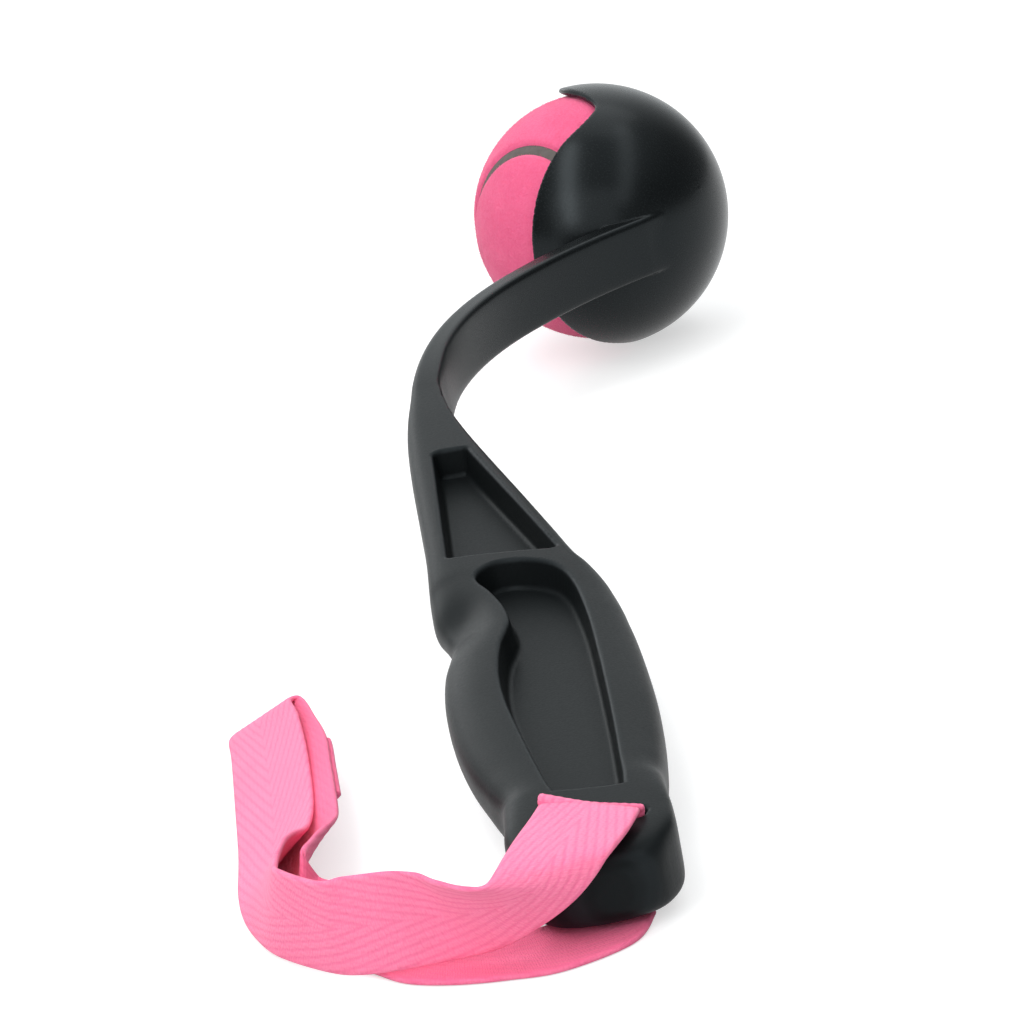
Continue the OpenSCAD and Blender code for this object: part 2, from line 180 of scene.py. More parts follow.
# Edge of the cup's mouth, seen along the exit: side and height
rim_rows = [
    (34, 7.9), (29, 4.6), (21.5, -0.7), (15.5, -5.2), (10, -7.5), (6.5, -6.6), (2, -2), (-3.5, 4.4),
    (-9, 7.4), (-16, 8.2), (-26, 8.2), (-36, 8.2),
]
far = 2 * CUP_OUT
beyond_rim = [(-far, rim_rows[-1][1]), (-far, far), (far, far), (far, rim_rows[0][1])]
mouth = np.concatenate([smooth_rows(rim_rows, ROW_STEPS), beyond_rim])


def along_middle(x, y):
    """Way along the middle line of the moulding and side of it, for points of its plane."""
    px, py = x - nose[0], y - nose[1]
    a, r = heading(GRIP_DEG), right_of(GRIP_DEG)
    s, q = px * a[0] + py * a[1], px * r[0] + py * r[1]
    way = HANDLE_LEN
    beyond = s > HANDLE_LEN
    arcs = (elbow_start, ELBOW_R, GRIP_DEG, MID_DEG), (arm_start, ARM_R, MID_DEG, CUP_DEG)
    for start, radius, first, last in arcs:
        middle = start + radius * right_of(first)
        dx, dy = x - middle[0], y - middle[1]
        g = np.degrees(np.arctan2(-dx, dy))
        s = np.where(beyond, way + radius * np.radians(first - g), s)
        q = np.where(beyond, radius - np.hypot(dx, dy), q)
        way += radius * math.radians(first - last)
        beyond = beyond & (g < last)
    middle = meet - RUN_R * right_of(CUP_DEG)
    dx, dy = x - middle[0], y - middle[1]
    g = np.degrees(np.arctan2(dx, -dy))
    s = np.where(beyond, way + RUN_R * np.radians(g - CUP_DEG), s)
    q = np.where(beyond, np.hypot(dx, dy) - RUN_R, q)
    return s, q


def distance_table(outline, low, high, step):
    """Signed distance to a closed outline on a regular table, with the table's start and step."""
    p = np.asarray(outline, float)
    axes = [np.arange(low[k], high[k], step) for k in (0, 1)]
    s, q = np.meshgrid(*axes, indexing="ij")
    best = np.full(s.shape, np.inf)
    inside = np.zeros(s.shape, bool)
    for (ax, ay), (bx, by) in zip(p, np.roll(p, -1, 0)):
        ex, ey = bx - ax, by - ay
        t = np.clip(((s - ax) * ex + (q - ay) * ey) / (ex * ex + ey * ey), 0, 1)
        best = np.minimum(best, np.hypot(s - ax - t * ex, q - ay - t * ey))
        if ay != by:
            inside ^= ((ay > q) != (by > q)) & (s < ax + (q - ay) * ex / ey)
    return np.where(inside, -best, best), low, step


def rounded_corners(corners, radius, steps):
    """Closed outline with its corners turned into arcs."""
    p = np.asarray(corners, float)
    out = []
    for i in range(len(p)):
        a, b = p[i - 1] - p[i], p[(i + 1) % len(p)] - p[i]
        a, b = a / np.linalg.norm(a), b / np.linalg.norm(b)
        half = math.acos(a @ b) / 2
        middle = p[i] + (a + b) / np.linalg.norm(a + b) * radius / math.sin(half)
        f, g = (p[i] + v * radius / math.tan(half) - middle for v in (a, b))
        for k in np.arange(steps + 1) / steps:
            v = f * (1 - k) + g * k
            out.append(middle + radius * v / np.linalg.norm(v))
    return np.array(out)


GRID_STEP, TRI_ROUND, CORNER_STEPS = 0.4, 2.0, 6
POCKET_AREA = (14.0, -26.0), (236.0, 26.0)
MOUTH_AREA = (-46.0, -46.0), (46.0, 46.0)
tri_edge = rounded_corners(tri_pocket, TRI_ROUND, CORNER_STEPS)
grip_edge = smooth_rows(grip_pocket, CORNER_STEPS, True)
pocket_tables = [distance_table(edge, *POCKET_AREA, GRID_STEP) for edge in (tri_edge, grip_edge)]
mouth_table = distance_table(mouth, *MOUTH_AREA, GRID_STEP)


def read_table(table, s, q):
    """Bilinear reading of a distance table."""
    values, low, step = table
    i = np.clip((s - low[0]) / step, 0, values.shape[0] - 1.001)
    j = np.clip((q - low[1]) / step, 0, values.shape[1] - 1.001)
    a, b = i.astype(int), j.astype(int)
    f, g = i - a, j - b
    return ((values[a, b] * (1 - f) + values[a + 1, b] * f) * (1 - g)
            + (values[a, b + 1] * (1 - f) + values[a + 1, b + 1] * f) * g)


def keep_both(a, b, r):
    """Distance to what two solids share, with the edge between them rounded."""
    outer = np.hypot(np.maximum(r + a, 0), np.maximum(r + b, 0))
    return np.minimum(-r, np.maximum(a, b)) + outer


def join(a, b, r):
    """Distance to two solids joined by a fillet."""
    inner = np.hypot(np.maximum(r - a, 0), np.maximum(r - b, 0))
    return np.maximum(r, np.minimum(a, b)) - inner


# Radii of the rounded edges. The fillet between arm and cup thins out where the arm runs out on the wall.
RIM_ROUND, FLOOR_ROUND, NOSE_ROUND, END_ROUND, LIP_ROUND = 0.9, 1.1, 1.8, 0.3, 0.8
ARM_FILLET, RUN_FILLET = 0.5, 0.2
FADE_FROM, FADE_TO = arm_end - 16, arm_end - 2
# Slope of the pocket walls, and the forefinger's dent: station, side, depth and spread along and across
DRAFT = 0.13
DENT_S, DENT_Q, DENT_DEEP, DENT_LONG, DENT_WIDE = 126.0, -11.5, 2.2, 9.5, 4.5
TINY = 1e-6
exit_way = np.append(heading(EXIT_DEG), 0)
exit_side = np.append(right_of(EXIT_DEG), 0)
skew_c, skew_s = math.cos(math.radians(SKEW_DEG)), math.sin(math.radians(SKEW_DEG))


def bar_distance(x, y, z):
    """Signed distance to the bar that makes the pommel, grip, elbow and arm, before anything is cut."""
    s, q = along_middle(x, y)
    stations = outline_table[:, 0]
    at = np.clip(s, stations[0], stations[-1])
    left, right, half, nl, nr = (np.interp(at, stations, outline_table[:, k]) for k in range(1, 6))
    n, wide = np.where(q > 0, nr, nl), np.where(q > 0, right, left)
    # A soft dent for the forefinger in the left rib, on both faces
    half = half - DENT_DEEP * np.exp(-((s - DENT_S) / DENT_LONG) ** 2 - ((q - DENT_Q) / DENT_WIDE) ** 2)
    a = np.abs(q) / wide + TINY
    b = np.abs(z) / half + TINY
    size = (a ** n + b ** n) ** (1 / n)
    slope = np.hypot((a / size) ** (n - 1) / wide, (b / size) ** (n - 1) / half)
    d = keep_both((size - 1) / slope, -s, NOSE_ROUND)
    return keep_both(d, s - stations[-1], END_ROUND), s, q


def moulding_distance(p):
    """Signed distance to the whole moulding: bar and cup joined, then hollow, pockets and slot cut."""
    x, y, z = p[..., 0], p[..., 1], p[..., 2]
    d, s, q = bar_distance(x, y, z)
    r = np.sqrt(x * x + y * y + z * z)
    up, side = p @ exit_way, p @ exit_side
    shell = keep_both(r - CUP_OUT, -read_table(mouth_table, -side, up), LIP_ROUND)
    # The table of the mouth ends near the cup, so far from it the shell counts as a whole ball
    shell = np.where(r > 3 * CUP_OUT, r - CUP_OUT, shell)
    d = join(d, shell, np.interp(s, (FADE_FROM, FADE_TO), (ARM_FILLET, RUN_FILLET)))
    way_out = np.sqrt(np.maximum(r * r - up * up, 0)) - CUP_IN + WAY_GAP
    d = keep_both(d, -np.minimum(r - CUP_IN, np.maximum(way_out, -up)), LIP_ROUND)
    for table in pocket_tables:
        wall = read_table(table, s, q) + DRAFT * (HALF_T - np.abs(z))
        d = keep_both(d, -keep_both(wall, FLOOR_T / 2 - np.abs(z), FLOOR_ROUND), RIM_ROUND)
    sx = np.abs(q * skew_c - (s - SLOT_S) * skew_s) - SLOT_W / 2 + SLOT_ROUND
    sy = np.abs(q * skew_s + (s - SLOT_S) * skew_c) - SLOT_H / 2 + SLOT_ROUND
    corner = np.hypot(np.maximum(sx, 0), np.maximum(sy, 0))
    slot = corner + np.minimum(np.maximum(sx, sy), 0) - SLOT_ROUND
    return keep_both(d, -slot, RIM_ROUND)


def zero_surface(distance, low, high, cell):
    """Quads over the zero surface of a distance, with one vertex in each mixed cell.

    The cells belong to a lattice through the origin and are given by their numbers along its axes.
    """
    low = np.floor(np.asarray(low) / cell).astype(int)
    high = np.ceil(np.asarray(high) / cell).astype(int)
    axes = [np.arange(low[k], high[k] + 1) * cell for k in range(3)]
    shape = [len(a) for a in axes]
    values = np.empty(shape)
    for i, x in enumerate(axes[0]):
        yy, zz = np.meshgrid(axes[1], axes[2], indexing="ij")
        values[i] = distance(np.stack([np.full(yy.shape, x), yy, zz], -1))
    inside = values < 0
    count = sum(inside[i:shape[0] - 1 + i, j:shape[1] - 1 + j, k:shape[2] - 1 + k].astype(np.int8)
                for i in (0, 1) for j in (0, 1) for k in (0, 1))
    mixed = (count > 0) & (count < 8)
    number = np.full(mixed.shape, -1)
    number[mixed] = np.arange(mixed.sum())
    quads = []
    for axis in range(3):
        u, v = (axis + 1) % 3, (axis + 2) % 3
        first = np.take(inside, range(shape[axis] - 1), axis)
        cut = np.argwhere(first != np.take(inside, range(1, shape[axis]), axis))
        for k in (u, v):
            cut = cut[(cut[:, k] > 0) & (cut[:, k] < shape[k] - 1)]
        ring = []
        for du, dv in ((1, 1), (0, 1), (0, 0), (1, 0)):
            c = cut.copy()
            c[:, u] -= du
            c[:, v] -= dv
            ring.append(number[tuple(c.T)])
        ring = np.stack(ring, 1)
        turned = ~first[tuple(cut.T)]
        ring[turned] = ring[turned][:, ::-1]
        quads.append(ring)
    return np.argwhere(mixed) + low, np.concatenate(quads)


def slope_at(distance, p, e=0.05):
    """Gradient of a distance by central differences."""
    return np.stack([(distance(p + e * k) - distance(p - e * k)) / (2 * e) for k in np.eye(3)], -1)


MAX_DROP, MIN_SLOPE = 0.6, 0.5


def settle(distance, points, quads, rounds):
    """Evens out the quads and drops every vertex onto the zero surface."""
    edges = np.concatenate([quads[:, [k, (k + 1) % 4]] for k in range(4)])
    edges = np.concatenate([edges, edges[:, ::-1]])
    neighbours = np.bincount(edges[:, 0], minlength=len(points))
    for k in range(rounds):
        if k:
            sums = [np.bincount(edges[:, 0], points[edges[:, 1], c], len(points)) for c in range(3)]
            mean = np.stack(sums, -1) / np.maximum(neighbours, 1)[:, None]
            points = points + 0.5 * (mean - points) * (neighbours > 2)[:, None]
        for _ in range(2):
            g = slope_at(distance, points)
            steep = np.maximum((g * g).sum(-1, keepdims=True), MIN_SLOPE ** 2)
            step = distance(points)[:, None] * g / steep
            points = points - np.clip(step, -MAX_DROP, MAX_DROP)
    return points


def add_mesh(name, points, faces, smooth=True):
    """Object at the origin from points in metres and faces of any size."""
    mesh = bpy.data.meshes.new(name)
    mesh.from_pydata(np.asarray(points, float).tolist(), [], [[int(i) for i in f] for f in faces])
    mesh.validate()
    mesh.polygons.foreach_set("use_smooth", np.full(len(mesh.polygons), smooth))
    obj = bpy.data.objects.new(name, mesh)
    scene.collection.objects.link(obj)
    return obj


def add_values(obj, name, values):
    """Float attribute on the vertices."""
    layer = obj.data.attributes.new(name, "FLOAT", "POINT")
    layer.data.foreach_set("value", np.asarray(values, np.float32))


def drop_loose(points, quads, *more):
    """Only the points that the quads use."""
    used = np.unique(quads)
    new = np.full(len(points), -1)
    new[used] = np.arange(len(used))
    return [points[used], new[quads]] + [m[used] for m in more]


# The lattice is laid in two boxes, round the grip and arm and round the cup, that overlap above CUP_Y
CELL, SETTLE_ROUNDS = 0.66, 4
CUP_Y, OVERLAP = -38.0, 3.0
ROOM, SIDE_ROOM, FACE_ROOM = 2.0, 26.0, 10.2
plan = np.array([nose, elbow_start, arm_start, meet])
boxes = (((plan[:, 0].min() - SIDE_ROOM, nose[1] - ROOM, -FACE_ROOM),
          (CUP_OUT + ROOM / 2, CUP_Y + OVERLAP, FACE_ROOM)),
         ((-CUP_OUT - ROOM, CUP_Y, -CUP_OUT - ROOM),
          (CUP_OUT + ROOM, CUP_OUT + ROOM, CUP_OUT + ROOM)))
cells, quads, total = [], [], 0
for low, high in boxes:
    c, f = zero_surface(moulding_distance, low, high, CELL)
    cells.append(c)
    quads.append(f + total)
    total += len(c)
# Cells that both boxes share are one vertex, and a quad made twice is kept once
cells, same = np.unique(np.concatenate(cells), axis=0, return_inverse=True)
quads = same.reshape(-1)[np.concatenate(quads)]
quads = quads[np.unique(np.sort(quads, 1), axis=0, return_index=True)[1]]
points = settle(moulding_distance, (cells + 0.5) * CELL, quads, SETTLE_ROUNDS)
NORMAL_REACH, BEND_REACH = 0.1, 0.8
normals = slope_at(moulding_distance, points, NORMAL_REACH)
normals = lay_down(normals / np.linalg.norm(normals, axis=1)[:, None])

# Sharp outer edges are rubbed, and the polish grows along the arm and is full on the cup
RUB_FROM, RUB_RANGE, POLISH_LEN = 0.3, 0.9, 60.0
probes = np.concatenate([np.eye(3), -np.eye(3)]) * BEND_REACH
bend = sum(moulding_distance(points + probe) for probe in probes) / BEND_REACH ** 2
rub = np.clip((bend - RUB_FROM) / RUB_RANGE, 0, 1)
polish = np.clip((along_middle(points[:, 0], points[:, 1])[0] - HANDLE_LEN) / POLISH_LEN, 0, 1)
polish = np.where(points[:, 1] > CUP_Y, 1, polish)


def new_material(name):
    """Material, its node tree and its shader."""
    material = bpy.data.materials.new(name)
    material.use_nodes = True
    tree = material.node_tree
    return material, tree, tree.nodes["Principled BSDF"]


def add_node(tree, kind, inputs=(), **settings):
    """Node with its settings, and its inputs given as values or as sockets to link from."""
    node = tree.nodes.new(kind)
    for key, value in settings.items():
        setattr(node, key, value)
    for key, value in dict(inputs).items():
        if isinstance(value, bpy.types.NodeSocket):
            tree.links.new(value, node.inputs[key])
        else:
            node.inputs[key].default_value = value
    return node


def object_space(tree):
    """Place in the object's own space."""
    return add_node(tree, "ShaderNodeTexCoord").outputs["Object"]


def attribute(tree, name):
    """Number stored on the mesh."""
    return add_node(tree, "ShaderNodeAttribute", attribute_name=name).outputs["Fac"]


def noise(tree, at, scale, detail, roughness=0.5):
    """Value of a noise texture."""
    inputs = {"Vector": at, "Scale": scale, "Detail": detail, "Roughness": roughness}
    return add_node(tree, "ShaderNodeTexNoise", inputs).outputs["Fac"]


def maths(tree, operation, *values):
    """Result of a math node on one, two or three values."""
    return add_node(tree, "ShaderNodeMath", dict(enumerate(values)), operation=operation).outputs[0]


def remap(tree, value, source, target):
    """Value taken from one range to another and held at its ends."""
    inputs = {"Value": value, "From Min": source[0], "From Max": source[1],
              "To Min": target[0], "To Max": target[1]}
    return add_node(tree, "ShaderNodeMapRange", inputs).outputs["Result"]


def mix(tree, factor, a, b):
    """Colour between two others."""
    return add_node(tree, "ShaderNodeMix", {0: factor, 6: a, 7: b}, data_type="RGBA").outputs[2]


def bump_on(tree, shader, height, strength, distance, invert=False):
    """Bump of a height, in metres, on the shader's normal."""
    inputs = {"Height": height, "Strength": strength, "Distance": distance}
    bump = add_node(tree, "ShaderNodeBump", inputs, invert=invert)
    tree.links.new(bump.outputs["Normal"], shader.inputs["Normal"])


def colour(*picked):
    """Linear colour from the eight-bit values of a colour picker, by the sRGB curve."""
    shares = [v / 255 for v in picked]
    return tuple(v / 12.92 if v <= 0.04045 else ((v + 0.055) / 1.055) ** 2.4 for v in shares) + (1,)


def dress(obj, material):
    """Gives an object one material in place of what it has."""
    obj.data.materials.clear()
    obj.data.materials.append(material)


# Dark grey plastic: fine spark-eroded grain, faint flow clouds, rubbed edges, and a smoother gloss towards
# the cup
plastic, tree, shader = new_material("dark_moulding")
at = object_space(tree)
clouds = noise(tree, at, scale=22.0, detail=3.0, roughness=0.55)
specks = noise(tree, at, scale=1900.0, detail=2.0, roughness=0.6)
base = mix(tree, clouds, colour(16, 18, 19), colour(23, 26, 27))
worn = maths(tree, "MULTIPLY", maths(tree, "MULTIPLY", attribute(tree, "edge_rub"), clouds), 0.5)
tree.links.new(mix(tree, worn, base, colour(52, 57, 60)), shader.inputs["Base Color"])
polished = attribute(tree, "polish")
satin = remap(tree, polished, (0, 1), (0.42, 0.26))
rough = maths(tree, "SUBTRACT", maths(tree, "MULTIPLY_ADD", specks, 0.16, satin), 0.08)
tree.links.new(rough, shader.inputs["Roughness"])
bump_on(tree, shader, specks, strength=remap(tree, polished, (0, 1), (0.35, 0.08)), distance=0.00006)
tree.links.new(remap(tree, polished, (0, 1), (0.08, 0.2)), shader.inputs["Specular IOR Level"])
shader.inputs["Specular Tint"].default_value = (0.84, 0.95, 1.0, 1)

on_cup = points[quads].mean(1)[:, 1] > CUP_Y
for name, chosen in (("grip_and_arm", quads[~on_cup]), ("cup_shell", quads[on_cup])):
    here, faces, turned, rubs, shines = drop_loose(points, chosen, normals, rub, polish)
    piece = add_mesh(name, lay_down(here) * MM, faces)
    piece.data.normals_split_custom_set_from_vertices(turned.tolist())
    add_values(piece, "edge_rub", rubs)
    add_values(piece, "polish", shines)
    dress(piece, plastic)
    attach(piece, "launcher")
    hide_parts("launcher_body")


# Ball core: two half shells of dark rubber, moulded and glued together at a flat join.
# The felt hides them, so they keep the shape of their solids and only get a material.
rubber, tree, shader = new_material("core_rubber")
specks = noise(tree, object_space(tree), scale=900.0, detail=2.0)
tree.links.new(mix(tree, specks, colour(34, 33, 33), colour(52, 50, 49)), shader.inputs["Base Color"])
shader.inputs["Roughness"].default_value = 0.7
for name in ("ball_core_a", "ball_core_b"):
    dress(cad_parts[name], rubber)


# Felt: two dumb-bell panels of pink napped cloth, glued to the core with their edges turned down to the seam.
# Loose fibres lie over the nap.
SEAM_W, FELT_T, FELT_OFF = 2.6, 3.0, 0.3
EDGE_W, EDGE_DROP, EDGE_CURVE = 2.2, 1.1, 2.4
SEAM_A, SEAM_B, SEAM_C = 0.75, 0.25, math.sqrt(0.75)
BALL_TURN = math.radians(10)
# A panel is a lattice between the two halves of its edge, closer together near the edge. One quarter of the
# edge, in degrees of the seam line, gives the others.
QUARTER_FROM, QUARTER_RUN = -44.2, 89.2
QUARTER_N, FILL_N, EASE = 60, 44, 0.15


def unit(v):
    """Vectors brought to a length of one."""
    return v / np.linalg.norm(v, axis=-1, keepdims=True)


def seam_line(t):
    """Middle of the seam on a unit ball, for degrees round it."""
    t = np.radians(t)
    return unit(np.stack([SEAM_A * np.cos(t) + SEAM_B * np.cos(3 * t),
                          SEAM_A * np.sin(t) - SEAM_B * np.sin(3 * t), SEAM_C * np.sin(2 * t)], -1))


def seam_at(t, w):
    """Point a way w beside the seam line, on a unit ball."""
    line = seam_line(t)
    side = unit(np.cross(line, seam_line(t + 0.5) - seam_line(t - 0.5)))
    return line * math.cos(w / BALL_R) + side * math.sin(w / BALL_R)


def seat_ball(p):
    """Points of the ball as it lies in the cup, in metres."""
    c, s = math.cos(BALL_TURN), math.sin(BALL_TURN)
    p = np.stack([p[..., 0], c * p[..., 1] - s * p[..., 2], s * p[..., 1] + c * p[..., 2]], -1)
    return lay_down(p) * MM


seam_samples = seam_line(np.arange(0, 360, 0.5))
edge = seam_at(QUARTER_FROM + QUARTER_RUN * np.arange(QUARTER_N + 1) / QUARTER_N, SEAM_W / 2)
rows = np.concatenate([edge[:, [1, 0, 2]], edge[-2::-1]])
facing = (rows * [-1, -1, 1])[:, [1, 0, 2]]
across = np.arange(FILL_N + 1) / FILL_N
across = 0.5 - 0.5 * np.cos(math.pi * (EASE + (1 - 2 * EASE) * across)) / math.cos(EASE * math.pi)
across = across[None, :, None]
panel = unit(rows[:, None] * (1 - across) + facing[:, None] * across)
count_r, count_c = panel.shape[:2]
flat = panel.reshape(-1, 3)
off_seam = np.arccos(np.clip((flat @ seam_samples.T).max(1), -1, 1)) * BALL_R - SEAM_W / 2
rise = np.clip(off_seam / EDGE_W, 0, 1)
felt_r = BALL_R - EDGE_DROP * (1 - rise) ** EDGE_CURVE
faces = [(i * count_c + j, i * count_c + j + 1, (i + 1) * count_c + j + 1, (i + 1) * count_c + j)
         for i in range(count_r - 1) for j in range(count_c - 1)]
border = (list(range(count_c)) + [i * count_c + count_c - 1 for i in range(1, count_r)]
          + [(count_r - 1) * count_c + j for j in range(count_c - 2, -1, -1)]
          + [i * count_c for i in range(count_r - 2, 0, -1)])
skirt = len(flat)
loop_n = len(border)
felt_points = np.concatenate([flat * felt_r[:, None], flat[border] * (BALL_R - FELT_T + FELT_OFF)])
faces += [(border[k], skirt + k, skirt + (k + 1) % loop_n, border[(k + 1) % loop_n]) for k in range(loop_n)]

felt, tree, shader = new_material("pink_felt")
at = object_space(tree)
nap = noise(tree, at, scale=1500.0, detail=4.0, roughness=0.7)
matted = noise(tree, at, scale=130.0, detail=4.0, roughness=0.6)
base = mix(tree, matted, colour(233, 84, 130), colour(252, 112, 155))
tufts = remap(tree, nap, (0.35, 0.7), (0.0, 0.35))
tree.links.new(mix(tree, tufts, base, colour(255, 138, 176)), shader.inputs["Base Color"])
bump_on(tree, shader, maths(tree, "ADD", nap, matted), strength=0.7, distance=0.0003)
shader.inputs["Roughness"].default_value = 0.95
shader.inputs["Specular IOR Level"].default_value = 0.1
shader.inputs["Sheen Weight"].default_value = 0.25
shader.inputs["Sheen Roughness"].default_value = 0.5
shader.inputs["Sheen Tint"].default_value = (1, 0.72, 0.82, 1)

# One fibre: a fine bent blade that rises a little from the nap and lies over
blade = [(-0.03, 0, -0.1), (0.03, 0, -0.1), (-0.03, 0.35, 0.13), (0.03, 0.35, 0.13),
         (-0.02, 0.8, 0.2), (0.02, 0.8, 0.2), (0, 1.15, 0.12)]
fibre = add_mesh("fibre", np.array(blade) * MM, [(0, 1, 3, 2), (2, 3, 5, 4), (4, 5, 6)])
dress(fibre, felt)
scene.collection.objects.unlink(fibre)


def new_tree(name, **sockets):
    """Geometry tree with a mesh in and out and named number inputs."""
    tree = bpy.data.node_groups.new(name, "GeometryNodeTree")
    tree.interface.new_socket("Geometry", in_out="INPUT", socket_type="NodeSocketGeometry")
    for key, kind in sockets.items():
        tree.interface.new_socket(key, in_out="INPUT", socket_type="NodeSocket" + kind)
    tree.interface.new_socket("Geometry", in_out="OUTPUT", socket_type="NodeSocketGeometry")
    return tree, tree.nodes.new("NodeGroupInput"), tree.nodes.new("NodeGroupOutput")


def grow(obj, tree, name, **values):
    """Plain mesh object of what a geometry tree makes on obj."""
    modifier = obj.modifiers.new("grow", "NODES")
    modifier.node_group = tree
    ids = {s.name: s.identifier for s in tree.interface.items_tree if s.in_out == "INPUT"}
    for key, value in values.items():
        modifier[ids[key]] = value
    view = bpy.context.evaluated_depsgraph_get()
    mesh = bpy.data.meshes.new_from_object(obj.evaluated_get(view))
    obj.modifiers.remove(modifier)
    mesh.name = name
    made = bpy.data.objects.new(name, mesh)
    scene.collection.objects.link(made)
    return made


# Fibres over a square metre, the least and most they lean and turn, and their least and most scale
FIBRES_PER_M2 = 2.4e6
LEAN_LEAST, LEAN_MOST = (-0.12, -0.12, 0.0), (0.05, 0.12, 6.283)
FIBRE_LEAST, FIBRE_MOST = 0.6, 1.25
fuzz, given, result = new_tree("felt_fuzz", Density="Float", Seed="Int")
drawn = given.outputs["Seed"]
spread = add_node(fuzz, "GeometryNodeDistributePointsOnFaces", {
    "Mesh": given.outputs["Geometry"], "Density": given.outputs["Density"], "Seed": drawn})
spin = add_node(fuzz, "FunctionNodeRandomValue", {0: LEAN_LEAST, 1: LEAN_MOST, "Seed": drawn},
                data_type="FLOAT_VECTOR")
euler = add_node(fuzz, "FunctionNodeEulerToRotation", {"Euler": spin.outputs[0]})
turned = add_node(fuzz, "FunctionNodeRotateRotation", {
    "Rotation": spread.outputs["Rotation"], "Rotate By": euler.outputs["Rotation"]}, rotation_space="LOCAL")
length = add_node(fuzz, "FunctionNodeRandomValue", {2: FIBRE_LEAST, 3: FIBRE_MOST, "Seed": drawn},
                  data_type="FLOAT")
shape = add_node(fuzz, "GeometryNodeObjectInfo", {"Object": fibre})
placed = add_node(fuzz, "GeometryNodeInstanceOnPoints", {
    "Points": spread.outputs["Points"], "Instance": shape.outputs["Geometry"],
    "Rotation": turned.outputs["Rotation"], "Scale": length.outputs[1]})
real = add_node(fuzz, "GeometryNodeRealizeInstances", {"Geometry": placed.outputs["Instances"]})
coloured = add_node(fuzz, "GeometryNodeSetMaterial", {
    "Geometry": real.outputs["Geometry"], "Material": felt})
fuzz.links.new(coloured.outputs["Geometry"], result.inputs["Geometry"])

for name, flip, seed in (("felt_panel_a", 1, 3), ("felt_panel_b", -1, 8)):
    panel_obj = add_mesh(name, seat_ball(felt_points * [1, flip, flip]), faces)
    dress(panel_obj, felt)
    fibres = grow(panel_obj, fuzz, name.replace("panel", "fibres"), Density=FIBRES_PER_M2, Seed=seed)
    for piece in (panel_obj, fibres):
        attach(piece, "ball")
    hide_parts("ball_felt_" + name[-1])


# Seam: a closed band of grey rubber compound that fills the gap between the two panels.
# It is bonded to the core between the turned-down edges and lies a little below the felt.
SEAM_N, CROWN_N = 480, 8
SEAM_SUNK, CROWN_DROP, SEAM_TUCK = 0.8, 0.12, 0.15
t = np.arange(SEAM_N) * 360 / SEAM_N
across = np.linspace(-1, 1, CROWN_N + 1)
crown = BALL_R - SEAM_SUNK - CROWN_DROP * across ** 2
band = np.stack([seam_at(t, w * (SEAM_W / 2 + SEAM_TUCK)) * r for w, r in zip(across, crown)], 1)
seam_faces = []
for i in range(SEAM_N):
    here, on = i * (CROWN_N + 1), (i + 1) % SEAM_N * (CROWN_N + 1)
    seam_faces += [(here + j, on + j, on + j + 1, here + j + 1) for j in range(CROWN_N)]
seam = add_mesh("seam", seat_ball(band.reshape(-1, 3)), seam_faces)
compound, tree, shader = new_material("seam_compound")
grit = noise(tree, object_space(tree), scale=700.0, detail=3.0)
tree.links.new(mix(tree, grit, colour(88, 84, 82), colour(114, 109, 105)), shader.inputs["Base Color"])
bump_on(tree, shader, grit, strength=0.5, distance=0.0002)
shader.inputs["Roughness"].default_value = 0.8
shader.inputs["Specular IOR Level"].default_value = 0.2
dress(seam, compound)
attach(seam, "ball")
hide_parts("ball_seam")


# Wrist strap: 20 mm herringbone webbing in pink, passed through the slot and sewn into a loop.
# It comes up out of the slot, folds over the edge, lies out to the left and comes back underneath.
slot_at = nose + SLOT_S * heading(GRIP_DEG)
slot_mid = lay_down(np.append(slot_at, 0))
strap_origin = np.array([slot_mid[0], slot_mid[1], TABLE_Z])
# Heights over the table of webbing that lies on the pommel and of webbing that lies on the table
OVER = slot_mid[2] - TABLE_Z + (HALF_T + STRAP_GAP) / math.cos(tilt) + STRAP_T / 2
LOW = STRAP_T / 2 + 0.05
